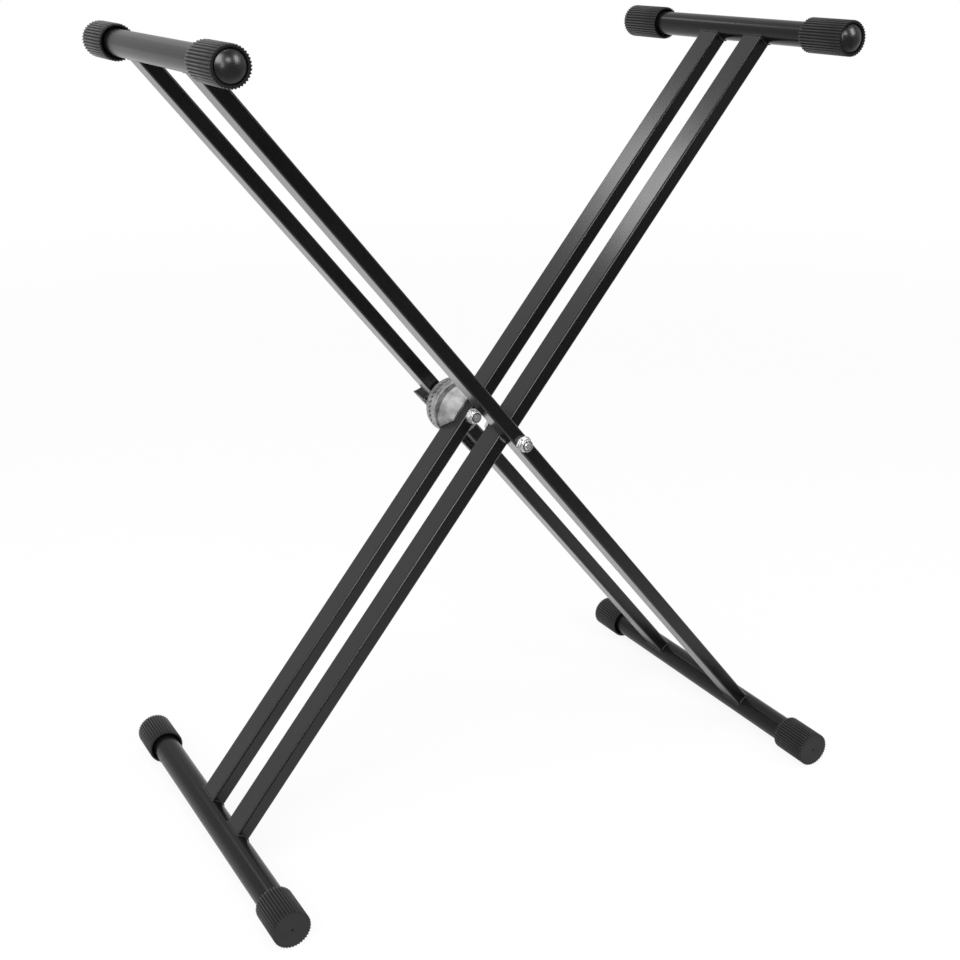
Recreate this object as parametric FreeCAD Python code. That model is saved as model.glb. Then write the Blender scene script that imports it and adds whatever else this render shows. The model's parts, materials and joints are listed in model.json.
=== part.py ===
import FreeCAD, Part
import math
import os

# Folding double-X keyboard stand, in millimetres.
# +Z is up, X runs across the stand from one top tube to the other, and Y runs along the tubes.
# "near" is the -Y side, "far" the +Y side. The origin is on the floor, straight below the pivot.
# Two frames cross at the pivot. The outer frame leans to -X at the top, the inner one to +X.
# Each frame is made upright about the pivot, brace axis on Z, and is then tilted into place.

V = FreeCAD.Vector
X_AXIS = V(1, 0, 0)
Y_AXIS = V(0, 1, 0)
Z_AXIS = V(0, 0, 1)
PIVOT = V(0, 0, 0)

# ---- driving dimensions ----

# Braces: rectangular steel tube
brace_width = 30.0            # along Y
brace_depth = 15.0            # in the plane of the X
brace_wall = 1.2
brace_corner = 2.2
arm_length = 505.5            # from the pivot to the axis of either cross tube
rest_angle = 39.2             # of a brace from the vertical, degrees
outer_spacing = 158.7         # between the axes of the outer frame's two braces
near_gap = 3.2                # between the near pair of braces
clutch_gap = 22.5             # between the far pair of braces

# Cross tubes: round steel tube
top_tube_diameter = 25.4
base_tube_diameter = 28.6
cross_tube_wall = 1.5

# Rubber sleeves on the top tubes, open at both ends
sleeve_diameter = 35.2        # over the ribs
sleeve_length = 59.4
top_span = 366.4              # over both sleeves
sleeve_mouth_wall = 1.7
sleeve_mouth_depth = 10.0
sleeve_end_wall = 3.2
sleeve_end_depth = 4.0

# Rubber caps on the base tubes, closed at the outer end
cap_diameter = 38.6           # over the ribs
cap_length = 45.4
base_span = 420.6             # over both caps
cap_mouth_wall = 1.7
cap_mouth_depth = 10.0
cap_floor = 4.0
cap_dimple_diameter = 3.0
cap_dimple_depth = 0.8

# Ribs of sleeves and caps
sleeve_ribs = 36
cap_ribs = 38
rib_depth = 1.0
rubber_edge = 0.4             # chamfer at the ends of the ribs

# Domed plugs in the ends of the top tubes
plug_diameter = 27.0
plug_rim = 2.0                # height of the rim that covers the tube's end
plug_dome = 4.5
plug_inset = 1.0              # of the dome's foot from the end of the sleeve
plug_stem_length = 14.0
plug_stem_wall = 2.0

# Tooth clutch between the far braces
clutch_diameter = 62.0
clutch_edge = 1.2             # round of each half's back rim
clutch_inner_depth = 11.2     # of the inner half, from its brace to the middle of the teeth
release_travel = 2.4          # of the outer half as the lever lifts
tooth_count = 36
tooth_height = 2.0
tooth_inner_diameter = 40.0
tooth_share = 0.48            # of the pitch that a tooth takes up
crest_gap = 0.3               # between the crests of the two rings
saddle_foot_length = 60.0     # of the saddle where it leaves the disc, along the brace
saddle_foot_width = 47.0
saddle_lip_length = 30.8      # of the saddle at its free edge
saddle_lip_wall = 2.4
saddle_reach = 16.8           # of the saddle along the brace's sides
saddle_lip_round = 3.0
spring_pocket_diameter = 17.0
spring_pocket_depth = 3.7
spring_coil_diameter = 12.8   # through the middle of the wire
spring_wire = 1.6
spring_turns = 5

# Fasteners
bolt_diameter = 8.0
bolt_tail = 1.2               # of thread past a nut
washer_diameter = 17.0
washer_thickness = 1.6
nut_flats = 13.0
nut_hex_height = 5.0
nut_collar_height = 2.0
nut_collar_diameter = 12.8
head_flats = 13.0
head_height = 5.3
bush_diameter = 12.0

# Cam lever on the far brace of the outer frame
lever_width = 26.8
lever_sheet = 1.5
lever_wall_depth = 9.0
lever_slope = 9.2             # of the handle from the brace, degrees
lever_handle = 102.0          # from the pin to the free end, along the brace
lever_nose = 14.0             # from the pin to the other end
lever_nose_depth = 4.4
lever_ear = 12.0              # of the cam's flat behind the pin
lever_end_round = 6.0
lever_horn = 3.0              # of the walls past the middle of the web at the nose
lever_lift = 40.0             # degrees
cam_lead = 50.0               # of the cam's centre from straight in, seen from the pin, degrees
pin_diameter = 6.0
pin_offset = 10.8             # of the pin from the brace's far face
pin_overhang = 0.4            # of the riveted pin past each side of the lever
eye_diameter = 11.0
eye_width = 9.0
plate_thickness = 2.0         # of the plate that the cams bear on
plate_length = 18.0
plate_lip = 7.0               # of the plate's sides down the brace

# ---- clearances ----

rubber_fit = 0.05             # radial, of rubber and plugs on tubes
bush_fit = 0.05               # radial, of a bush in its brace
shaft_fit = 0.08              # radial, of a bolt or pin in what turns on it
seat_fit = 0.2                # of a saddle or plate beside a brace
face_gap = 0.3                # between faces that turn on each other

# ---- derived places ----

outer_axis = outer_spacing / 2
outer_far_inside = outer_axis - brace_width / 2
outer_far_outside = outer_axis + brace_width / 2
inner_far_axis = outer_far_inside - clutch_gap - brace_width / 2
inner_near_axis = -outer_far_inside + near_gap + brace_width / 2
inner_far_outside = inner_far_axis + brace_width / 2
inner_far_inside = inner_far_axis - brace_width / 2
inner_near_inside = inner_near_axis + brace_width / 2
clutch_middle = inner_far_outside + clutch_inner_depth
clutch_back = outer_far_inside - release_travel - 2 * face_gap
pivot_height = arm_length * math.cos(math.radians(rest_angle)) + cap_diameter / 2
pin_place = outer_far_outside + pin_offset
OUTER_TILT = -rest_angle
INNER_TILT = rest_angle


# ---- basic shapes ----

def cylinder(diameter, start, end):
    """A cylinder about the Y axis, between two Y positions."""
    low, high = sorted((start, end))
    return Part.makeCylinder(diameter / 2, high - low, V(0, low, 0), Y_AXIS)


def ring(outer, inner, start, end):
    low, high = sorted((start, end))
    return cylinder(outer, low, high).cut(cylinder(inner, low - 1, high + 1))


def box(x_size, y_low, y_high, z_low, z_high):
    """A block centred on x = 0."""
    return Part.makeBox(x_size, y_high - y_low, z_high - z_low, V(-x_size / 2, y_low, z_low))


def hexagon(flats, start, end):
    """A hexagonal bar about the Y axis."""
    low, high = sorted((start, end))
    radius = flats / math.sqrt(3)
    points = [V(radius * math.cos(math.radians(60 * i)), low, radius * math.sin(math.radians(60 * i)))
              for i in range(7)]
    return Part.Face(Part.makePolygon(points)).extrude(V(0, high - low, 0))


def revolve_about_y(points):
    """A solid of revolution from (radius, y) points."""
    wire = Part.makePolygon([V(r, y, 0) for r, y in points + points[:1]])
    return Part.Face(wire).revolve(PIVOT, Y_AXIS, 360)


def mirrored(shape):
    """The same shape on the other side of the middle plane, near for far."""
    return shape.mirror(PIVOT, Y_AXIS)


def at_height(shape, height):
    """A shape about the Y axis, moved along the brace to a tube's axis."""
    moved = shape.copy()
    moved.translate(V(0, 0, height))
    return moved


# ---- frames ----

def rounded_rectangle(width_x, width_y, radius, z):
    """A closed outline with round corners, flat at height z."""
    x, y = width_x / 2, width_y / 2
    edges = []
    corners = [(x - radius, y - radius, 0), (-x + radius, y - radius, 90),
               (-x + radius, -y + radius, 180), (x - radius, -y + radius, 270)]

    def rim(cx, cy, degrees):
        angle = math.radians(degrees)
        return V(cx + radius * math.cos(angle), cy + radius * math.sin(angle), z)

    for index, (cx, cy, start) in enumerate(corners):
        edges.append(Part.Arc(rim(cx, cy, start), rim(cx, cy, start + 45), rim(cx, cy, start + 90)).toShape())
        nx, ny, next_start = corners[(index + 1) % 4]
        edges.append(Part.LineSegment(rim(cx, cy, start + 90), rim(nx, ny, next_start)).toShape())
    return Part.Wire(edges)


def brace(axis_y):
    """One brace, coped to both cross tubes, with the hole for its bush."""
    outside = Part.Face(rounded_rectangle(brace_depth, brace_width, brace_corner, -arm_length))
    inside = Part.Face(rounded_rectangle(brace_depth - 2 * brace_wall, brace_width - 2 * brace_wall,
                                         brace_corner - brace_wall, -arm_length))
    span = V(0, 0, 2 * arm_length)
    tube = outside.extrude(span).cut(inside.extrude(span))
    tube.translate(V(0, axis_y, 0))
    reach = brace_width
    for diameter, height in ((top_tube_diameter, arm_length), (base_tube_diameter, -arm_length)):
        tube = tube.cut(at_height(cylinder(diameter, axis_y - reach, axis_y + reach), height))
    return tube.cut(cylinder(bush_diameter + 2 * bush_fit, axis_y - reach, axis_y + reach))


def bush(axis_y):
    """The crush bush inside a brace, flush with both of its sides."""
    half = brace_width / 2
    return ring(bush_diameter, bolt_diameter + 2 * shaft_fit, axis_y - half, axis_y + half)


def cross_tube(diameter, half_length, height):
    tube = ring(diameter, diameter - 2 * cross_tube_wall, -half_length, half_length)
    return at_height(tube, height)


# ---- rubber ends and plugs ----

def ribbed_bar(diameter, ribs, start, end):
    """A bar with round ribs along it and a chamfer at each end."""
    crest = diameter / 2
    valley = crest - rib_depth
    pitch = 2 * math.pi / ribs

    def spot(radius, angle):
        return V(radius * math.sin(angle), start, radius * math.cos(angle))

    arcs = [Part.Arc(spot(valley, (i - 0.5) * pitch), spot(crest, i * pitch), spot(valley, (i + 0.5) * pitch))
            for i in range(ribs)]
    bar = Part.Face(Part.Wire([arc.toShape() for arc in arcs])).extrude(V(0, end - start, 0))
    edge = rubber_edge
    envelope = revolve_about_y([(0, start), (crest - edge, start), (crest + 0.01, start + edge),
                                (crest + 0.01, end - edge), (crest - edge, end), (0, end)])
    return bar.common(envelope)


def top_sleeve():
    """The far sleeve: grips the tube in its middle, recessed at both ends."""
    end = top_span / 2
    mouth = end - sleeve_length
    sleeve = ribbed_bar(sleeve_diameter, sleeve_ribs, mouth, end)
    sleeve = sleeve.cut(cylinder(top_tube_diameter + 2 * rubber_fit, mouth - 1, end + 1))
    mouth_bore = sleeve_diameter - 2 * (rib_depth + sleeve_mouth_wall)
    end_bore = sleeve_diameter - 2 * sleeve_end_wall
    sleeve = sleeve.cut(cylinder(mouth_bore, mouth - 1, mouth + sleeve_mouth_depth))
    return sleeve.cut(cylinder(end_bore, end - sleeve_end_depth, end + 1))


def base_cap():
    """The far cap: closed and dimpled at its outer end, recessed at its mouth."""
    end = base_span / 2
    mouth = end - cap_length
    cap = ribbed_bar(cap_diameter, cap_ribs, mouth, end)
    cap = cap.cut(cylinder(base_tube_diameter + 2 * rubber_fit, mouth - 1, end - cap_floor))
    mouth_bore = cap_diameter - 2 * (rib_depth + cap_mouth_wall)
    cap = cap.cut(cylinder(mouth_bore, mouth - 1, mouth + cap_mouth_depth))
    return cap.cut(cylinder(cap_dimple_diameter, end - cap_dimple_depth, end + 1))


plug_foot = top_span / 2 - plug_inset
top_tube_half = plug_foot - plug_rim
base_tube_half = base_span / 2 - cap_floor


def end_plug():
    """The far plug: a dome on a rim, and a hollow stem inside the tube."""
    radius = plug_diameter / 2
    dome_radius = (radius ** 2 + plug_dome ** 2) / (2 * plug_dome)
    ball = Part.makeSphere(dome_radius, V(0, plug_foot + plug_dome - dome_radius, 0))
    dome = ball.common(cylinder(plug_diameter, plug_foot, plug_foot + plug_dome + 1))
    stem = top_tube_diameter - 2 * cross_tube_wall - 2 * rubber_fit
    plug = dome.fuse(cylinder(plug_diameter, top_tube_half, plug_foot))
    plug = plug.fuse(cylinder(stem, top_tube_half - plug_stem_length, top_tube_half))
    hollow = cylinder(stem - 2 * plug_stem_wall, top_tube_half - plug_stem_length - 1, top_tube_half)
    return plug.cut(hollow).removeSplitter()


# ---- clutch ----

def ellipse_outline(width_x, width_z, y):
    """An ellipse about the Y axis, in eight arcs that start on +X."""
    x, z = width_x / 2, width_z / 2

    def rim(eighth):
        angle = math.radians(45 * eighth)
        return V(x * math.cos(angle), y, z * math.sin(angle))

    edges = []
    for i in range(8):
        curve = Part.BSplineCurve()
        curve.interpolate([rim(i + step / 4) for step in range(5)])
        edges.append(curve.toShape())
    return Part.Wire(edges)


def lip_outline(width_x, width_z, radius, y):
    """A rounded rectangle about the Y axis, in eight edges that match the ellipse's."""
    x, z = width_x / 2, width_z / 2
    diagonal = radius * (1 - math.sqrt(0.5))
    mids = [V(x, y, 0), V(0, y, z), V(-x, y, 0), V(0, y, -z)]
    edges = []
    for i, (sx, sz) in enumerate(((1, 1), (-1, 1), (-1, -1), (1, -1))):
        knee = V(sx * (x - diagonal), y, sz * (z - diagonal))
        side = V(sx * x, y, sz * (z - radius))
        end = V(sx * (x - radius), y, sz * z)
        first, last = (side, end) if i % 2 == 0 else (end, side)
        for start, corner, stop in ((mids[i], first, knee), (knee, last, mids[(i + 1) % 4])):
            edges.append(Part.makePolygon([start, corner, stop]))
    curves = []
    for polygon in edges:
        points = [vertex.Point for vertex in polygon.Vertexes]
        curve = Part.BSplineCurve()
        curve.buildFromPoles(points, False, 2)
        curves.append(curve.toShape())
    return Part.Wire(curves)


def saddle(face_y, direction):
    """The part of a clutch half that runs down both sides of its brace."""
    lip_y = face_y + direction * saddle_reach
    lip_width = brace_depth + 2 * (seat_fit + saddle_lip_wall)
    foot = ellipse_outline(saddle_foot_width, saddle_foot_length, face_y)
    lip = lip_outline(lip_width, saddle_lip_length, saddle_lip_round, lip_y)
    body = Part.makeLoft([foot, lip], True, True)
    low, high = sorted((face_y, lip_y + direction))
    return body.cut(box(brace_depth + 2 * seat_fit, low, high, -clutch_diameter, clutch_diameter))


def tooth(index, start, end):
    """One radial tooth of a ring, between two Y positions."""
    pitch = 2 * math.pi / tooth_count
    middle = index * pitch
    half = tooth_share * pitch / 2
    low, high = sorted((start, end))

    def spot(diameter, angle):
        return V(diameter / 2 * math.cos(angle), low, diameter / 2 * math.sin(angle))

    inner, outer = tooth_inner_diameter, clutch_diameter
    edges = [Part.LineSegment(spot(inner, middle - half), spot(outer, middle - half)).toShape(),
             Part.Arc(spot(outer, middle - half), spot(outer, middle), spot(outer, middle + half)).toShape(),
             Part.LineSegment(spot(outer, middle + half), spot(inner, middle + half)).toShape(),
             Part.Arc(spot(inner, middle + half), spot(inner, middle), spot(inner, middle - half)).toShape()]
    return Part.Face(Part.Wire(edges)).extrude(V(0, high - low, 0))


def round_backed_disc(root, back, direction):
    """A disc whose back rim is rounded."""
    radius = clutch_diameter / 2
    knee = clutch_edge * math.sqrt(0.5)
    arc_start = V(radius, back - direction * clutch_edge, 0)
    arc_end = V(radius - clutch_edge, back, 0)
    arc_middle = V(radius - clutch_edge + knee, back - direction * (clutch_edge - knee), 0)
    outline = [Part.LineSegment(V(0, root, 0), V(radius, root, 0)).toShape(),
               Part.LineSegment(V(radius, root, 0), arc_start).toShape(),
               Part.Arc(arc_start, arc_middle, arc_end).toShape(),
               Part.LineSegment(arc_end, V(0, back, 0)).toShape(),
               Part.LineSegment(V(0, back, 0), V(0, root, 0)).toShape()]
    return Part.Face(Part.Wire(outline)).revolve(PIVOT, Y_AXIS, 360)


def clutch_half(back, direction, first_tooth):
    """A toothed disc with a saddle on its back; direction is the way the saddle points."""
    crest = clutch_middle + direction * crest_gap / 2
    root = crest + direction * tooth_height
    disc = round_backed_disc(root, back, direction)
    teeth = [tooth(i + first_tooth, crest, root) for i in range(tooth_count)]
    half = disc.multiFuse(teeth + [saddle(back, direction)])
    pocket_floor = root + direction * spring_pocket_depth
    half = half.cut(cylinder(spring_pocket_diameter, crest, pocket_floor))
    return half.cut(cylinder(bolt_diameter + 2 * shaft_fit, crest, back + direction)).removeSplitter()


def clutch_spring():
    """The coil that parts the two halves, seated in the outer half's pocket."""
    outer_floor = clutch_middle + crest_gap / 2 + tooth_height + spring_pocket_depth
    inner_floor = clutch_middle - crest_gap / 2 - tooth_height - spring_pocket_depth
    start = inner_floor + face_gap + spring_wire / 2
    height = outer_floor - spring_wire / 2 - start
    helix = Part.makeHelix(height / spring_turns, height, spring_coil_diameter / 2)
    section = Part.Wire(Part.makeCircle(spring_wire / 2, V(spring_coil_diameter / 2, 0, 0), Y_AXIS))
    coil = Part.Wire(helix).makePipeShell([section], True, True)
    coil.rotate(PIVOT, X_AXIS, -90)
    coil.translate(V(0, start, 0))
    return coil


# ---- fasteners ----

def washer(start, direction):
    end = start + direction * washer_thickness
    return ring(washer_diameter, bolt_diameter + 2 * shaft_fit, start, end)


def lock_nut(start, direction):
    """A hexagon nut with a round collar, its flat on start."""
    hex_end = start + direction * nut_hex_height
    collar_end = hex_end + direction * nut_collar_height
    collar = cylinder(nut_collar_diameter, hex_end, collar_end)
    body = hexagon_bar(nut_flats, start, hex_end).fuse(collar)
    return body.cut(cylinder(bolt_diameter, start - direction, collar_end + direction))


nut_height = nut_hex_height + nut_collar_height
far_nut_seat = inner_far_inside - face_gap - washer_thickness
near_nut_seat = -outer_far_outside - washer_thickness
near_head_seat = inner_near_inside + face_gap


def hexagon_bar(flats, start, outer_face):
    """A hexagon whose corners are trimmed at the outer face."""
    direction = 1 if outer_face > start else -1
    corner = flats / math.sqrt(3)
    slope = corner - flats / 2
    trim = revolve_about_y([(0, start), (corner, start), (corner, outer_face - direction * slope),
                            (flats / 2, outer_face), (0, outer_face)])
    return hexagon(flats, start, outer_face).common(trim)


def near_bolt():
    """The near pivot's bolt: its head is inside, against the inner frame's brace."""
    head = hexagon_bar(head_flats, near_head_seat, near_head_seat + head_height)
    return head.fuse(cylinder(bolt_diameter, near_nut_seat - nut_height - bolt_tail, near_head_seat))


def eye_bolt():
    """The clutch bolt: its eye turns on the lever's pin, its tail holds the far nut."""
    shank = cylinder(bolt_diameter, far_nut_seat - nut_height - bolt_tail, pin_place)
    eye = Part.makeCylinder(eye_diameter / 2, eye_width, V(-eye_width / 2, pin_place, 0), X_AXIS)
    hole = Part.makeCylinder(pin_diameter / 2 + shaft_fit, eye_width + 2,
                             V(-eye_width / 2 - 1, pin_place, 0), X_AXIS)
    return shank.fuse(eye).cut(hole).removeSplitter()


# ---- lever ----

def from_pin(z, y):
    """A point of the lever's side, from its distances to the pin along and off the brace."""
    return V(0, pin_place + y, z)


slope_rise = math.tan(math.radians(lever_slope))
web_thickness = lever_sheet / math.cos(math.radians(lever_slope))
handle_rest = face_gap - pin_offset       # inside of the web at the free end, from the pin


def web_outside(z):
    return handle_rest + web_thickness + (z + lever_handle) * slope_rise


def lever_outline():
    """The side of the lever: handle, round cam beside the pin, and nose."""
    lead = math.radians(cam_lead)
    lifted = math.radians(cam_lead + lever_lift)
    cam_offset = (release_travel + face_gap) / (math.cos(lead) - math.cos(lifted))
    centre_z = -cam_offset * math.sin(lead)
    centre_y = -cam_offset * math.cos(lead)
    cam_radius = pin_offset - plate_thickness - 2 * face_gap + centre_y

    def cam(degrees):
        angle = math.radians(degrees)
        return from_pin(centre_z + cam_radius * math.sin(angle), centre_y - cam_radius * math.cos(angle))

    ear_y = centre_y - cam_radius
    near_edge = web_outside(-2 * lever_ear) - lever_wall_depth
    end_z = -lever_handle
    end_top = web_outside(end_z)
    end_low = end_top - lever_wall_depth
    nose_top = web_outside(lever_nose)
    corner = lever_end_round
    bend = corner * (1 - math.sqrt(0.5))
    low_rise = (near_edge - end_low) / (lever_handle - 2 * lever_ear)
    outline = [Part.Arc(cam(0), cam(lever_lift / 2), cam(lever_lift)).toShape(),
               Part.LineSegment(cam(lever_lift), from_pin(lever_nose, nose_top - lever_nose_depth)).toShape(),
               Part.LineSegment(from_pin(lever_nose, nose_top - lever_nose_depth),
                                from_pin(lever_nose, nose_top)).toShape(),
               Part.LineSegment(from_pin(lever_nose, nose_top), from_pin(end_z, end_top)).toShape(),
               Part.LineSegment(from_pin(end_z, end_top), from_pin(end_z, end_low + corner)).toShape(),
               Part.Arc(from_pin(end_z, end_low + corner), from_pin(end_z + bend, end_low + bend),
                        from_pin(end_z + corner, end_low + corner * low_rise)).toShape(),
               Part.LineSegment(from_pin(end_z + corner, end_low + corner * low_rise),
                                from_pin(-2 * lever_ear, near_edge)).toShape(),
               Part.LineSegment(from_pin(-2 * lever_ear, near_edge), from_pin(-lever_ear, ear_y)).toShape(),
               Part.LineSegment(from_pin(-lever_ear, ear_y), cam(0)).toShape()]
    return Part.Wire(outline)


def nose_notch(width):
    """The round that leaves the nose's walls longer than the middle of its web."""
    radius = (width ** 2 / 4 + lever_horn ** 2) / (2 * lever_horn)
    start = V(0, pin_place, lever_nose - lever_horn + radius)
    return Part.makeCylinder(radius, web_outside(lever_nose) + web_thickness, start, Y_AXIS)


def lever():
    """A folded sheet channel, open towards the brace."""
    side = Part.Face(lever_outline())
    side.translate(V(-lever_width / 2, 0, 0))
    solid = side.extrude(V(lever_width, 0, 0))
    inside_width = lever_width - 2 * lever_sheet
    far_z = lever_nose + 1
    low_z = -lever_handle - 1
    drop = lever_wall_depth + pin_offset + lever_handle
    points = [from_pin(low_z, web_outside(low_z) - web_thickness),
              from_pin(far_z, web_outside(far_z) - web_thickness),
              from_pin(far_z, -drop), from_pin(low_z, -drop)]
    hollow = Part.Face(Part.makePolygon(points + points[:1]))
    hollow.translate(V(-inside_width / 2, 0, 0))
    solid = solid.cut(hollow.extrude(V(inside_width, 0, 0)))
    hole = Part.makeCylinder(pin_diameter / 2 + bush_fit, lever_width + 2,
                             V(-lever_width / 2 - 1, pin_place, 0), X_AXIS)
    return solid.cut(hole).cut(nose_notch(inside_width))


def lever_pin():
    length = lever_width + 2 * pin_overhang
    return Part.makeCylinder(pin_diameter / 2, length, V(-length / 2, pin_place, 0), X_AXIS)


plate_seat = outer_far_outside + face_gap


def cam_plate():
    """The plate under the cams, with a lip down each side of the brace."""
    top = plate_seat + plate_thickness
    half = plate_length / 2
    plate = box(lever_width - lever_sheet, plate_seat, top, -half, half)
    slot_width = brace_depth + 2 * seat_fit
    lips = box(slot_width + 2 * plate_thickness, plate_seat - plate_lip, plate_seat, -half, half)
    slot = box(slot_width, plate_seat - plate_lip - 1, plate_seat, -half - 1, half + 1)
    plate = plate.fuse(lips.cut(slot))
    return plate.cut(cylinder(bolt_diameter + 2 * shaft_fit, plate_seat - 1, top + 1)).removeSplitter()


def pressure_sleeve():
    """The tube round the bolt, from the cam plate through the brace to the outer half."""
    return ring(bush_diameter, bolt_diameter + 2 * shaft_fit, clutch_back, plate_seat)


def near_spacer():
    """The thick washer that keeps the near braces apart."""
    low = -outer_far_inside
    return ring(washer_diameter, bolt_diameter + 2 * shaft_fit, low, low + near_gap - face_gap)


# ---- assembly ----

def frame_pieces(name, near_axis, far_axis):
    """Braces, bushes, cross tubes, rubber ends and plugs of one frame, upright."""
    sleeve = at_height(top_sleeve(), arm_length)
    plug = at_height(end_plug(), arm_length)
    cap = at_height(base_cap(), -arm_length)
    return {
        name + "_brace_near": brace(near_axis),
        name + "_brace_far": brace(far_axis),
        name + "_bush_near": bush(near_axis),
        name + "_top_tube": cross_tube(top_tube_diameter, top_tube_half, arm_length),
        name + "_base_tube": cross_tube(base_tube_diameter, base_tube_half, -arm_length),
        name + "_top_sleeve_far": sleeve,
        name + "_top_sleeve_near": mirrored(sleeve),
        name + "_top_plug_far": plug,
        name + "_top_plug_near": mirrored(plug),
        name + "_base_cap_far": cap,
        name + "_base_cap_near": mirrored(cap),
    }


def pieces():
    """Every piece by name, with the tilt of the frame it lies along."""
    outer = frame_pieces("outer", -outer_axis, outer_axis)
    outer["clutch_half_outer"] = clutch_half(clutch_back, 1, 0)
    outer["pressure_sleeve"] = pressure_sleeve()
    outer["clutch_spring"] = clutch_spring()
    outer["cam_plate"] = cam_plate()
    outer["clutch_bolt"] = eye_bolt()
    outer["clutch_washer"] = washer(inner_far_inside - face_gap, -1)
    outer["clutch_nut"] = lock_nut(far_nut_seat, -1)
    outer["release_lever"] = lever()
    outer["lever_pin"] = lever_pin()
    outer["near_bolt"] = near_bolt()
    outer["near_washer"] = washer(-outer_far_outside, -1)
    outer["near_nut"] = lock_nut(near_nut_seat, -1)
    outer["near_spacer"] = near_spacer()
    inner = frame_pieces("inner", inner_near_axis, inner_far_axis)
    inner["inner_bush_far"] = bush(inner_far_axis)
    inner["clutch_half_inner"] = clutch_half(inner_far_outside, -1, 0.5)
    return [(outer, OUTER_TILT), (inner, INNER_TILT)]


def main():
    os.makedirs("parts", exist_ok=True)
    for group, tilt in pieces():
        for name, shape in group.items():
            placed = shape.copy()
            placed.rotate(PIVOT, Y_AXIS, tilt)
            placed.translate(V(0, 0, pivot_height))
            placed.exportStep(os.path.join("parts", name + ".step"))
            print(name, placed.isValid(), len(placed.Solids), round(placed.Volume, 1))


main()
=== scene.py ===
import json
import math

import bmesh
import bpy
from mathutils import Matrix, Vector


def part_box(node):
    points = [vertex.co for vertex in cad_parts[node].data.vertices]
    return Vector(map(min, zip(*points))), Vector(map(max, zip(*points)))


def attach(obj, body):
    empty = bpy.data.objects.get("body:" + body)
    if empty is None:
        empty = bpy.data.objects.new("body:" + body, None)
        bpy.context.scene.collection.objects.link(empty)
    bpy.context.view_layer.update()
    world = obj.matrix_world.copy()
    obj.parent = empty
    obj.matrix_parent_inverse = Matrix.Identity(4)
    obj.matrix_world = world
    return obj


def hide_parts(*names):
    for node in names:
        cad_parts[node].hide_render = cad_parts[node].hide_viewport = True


# A folding double-X keyboard stand: two tube frames that cross at a toothed clutch.
# Lengths are in metres. Y runs along the round tubes, and "near" is the -Y side.
# A piece is drawn upright about the pivot or about its own tube, and its mesh is then put in place.

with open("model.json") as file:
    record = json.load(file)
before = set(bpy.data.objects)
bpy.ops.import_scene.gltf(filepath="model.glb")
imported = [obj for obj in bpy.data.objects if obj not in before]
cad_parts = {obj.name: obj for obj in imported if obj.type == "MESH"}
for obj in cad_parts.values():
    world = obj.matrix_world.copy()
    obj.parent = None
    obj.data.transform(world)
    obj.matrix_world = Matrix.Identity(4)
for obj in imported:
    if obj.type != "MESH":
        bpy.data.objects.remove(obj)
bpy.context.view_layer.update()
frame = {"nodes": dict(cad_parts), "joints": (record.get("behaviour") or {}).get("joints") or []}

# ---- places read from the frame ----

JOINTS = {joint["name"]: joint for joint in frame["joints"]}
PIVOT = Vector(JOINTS["frame_fold"]["pos_m"])
PIN = Vector(JOINTS["lever_lift"]["pos_m"])
LEAN = math.atan2(JOINTS["lever_lift"]["axis"][2], JOINTS["lever_lift"]["axis"][0])
FRAMES = {"outer": -LEAN, "inner": LEAN}
BODY = {"outer": "outer_frame", "inner": "inner_frame"}

MM = 0.001


def node_middle(node):
    low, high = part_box(node)
    return (Vector(low) + Vector(high)) / 2


def node_span(node):
    """The lowest and highest Y of a node."""
    low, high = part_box(node)
    return low[1], high[1]


def node_radius(node):
    """Half the depth of a round node that lies along Y."""
    low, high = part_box(node)
    return (high[0] - low[0]) / 2


def leaning(angle):
    """Takes a mesh drawn upright about the pivot to a frame's own lean."""
    return Matrix.Translation(PIVOT) @ Matrix.Rotation(angle, 4, "Y")


# ---- mesh helpers ----

def link(name, mesh):
    piece = bpy.data.objects.new(name, mesh)
    bpy.context.scene.collection.objects.link(piece)
    return piece


def finish_mesh(mesh, sharp_degrees):
    mesh.shade_smooth()
    mesh.set_sharp_from_angle(angle=math.radians(sharp_degrees))


MERGE_DISTANCE = 1e-7


def to_mesh(bm, name):
    bmesh.ops.remove_doubles(bm, verts=bm.verts, dist=MERGE_DISTANCE)
    bmesh.ops.recalc_face_normals(bm, faces=bm.faces)
    mesh = bpy.data.meshes.new(name)
    bm.to_mesh(mesh)
    bm.free()
    return mesh


def turned(name, rings, segments):
    """A closed solid about Y. Each ring is (radius, y) or a function of the angle that gives them."""
    bm = bmesh.new()
    columns = []
    for ring in rings:
        column = []
        for step in range(segments):
            angle = 2 * math.pi * step / segments
            radius, y = ring(angle) if callable(ring) else ring
            column.append(bm.verts.new((radius * math.sin(angle), y, radius * math.cos(angle))))
        columns.append(column)
    for index, column in enumerate(columns):
        after = columns[(index + 1) % len(columns)]
        for step in range(segments):
            beside = (step + 1) % segments
            bm.faces.new([column[step], column[beside], after[beside], after[step]])
    bmesh.ops.remove_doubles(bm, verts=bm.verts, dist=MERGE_DISTANCE)
    bmesh.ops.dissolve_degenerate(bm, edges=bm.edges, dist=MERGE_DISTANCE)
    return to_mesh(bm, name)


def arc(centre, radius, start, end, steps):
    """Points (radius, y) on an arc, angles in degrees from straight out."""
    points = []
    for step in range(steps + 1):
        angle = math.radians(start + (end - start) * step / steps)
        points.append((centre[0] + radius * math.cos(angle), centre[1] + radius * math.sin(angle)))
    return points


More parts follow.
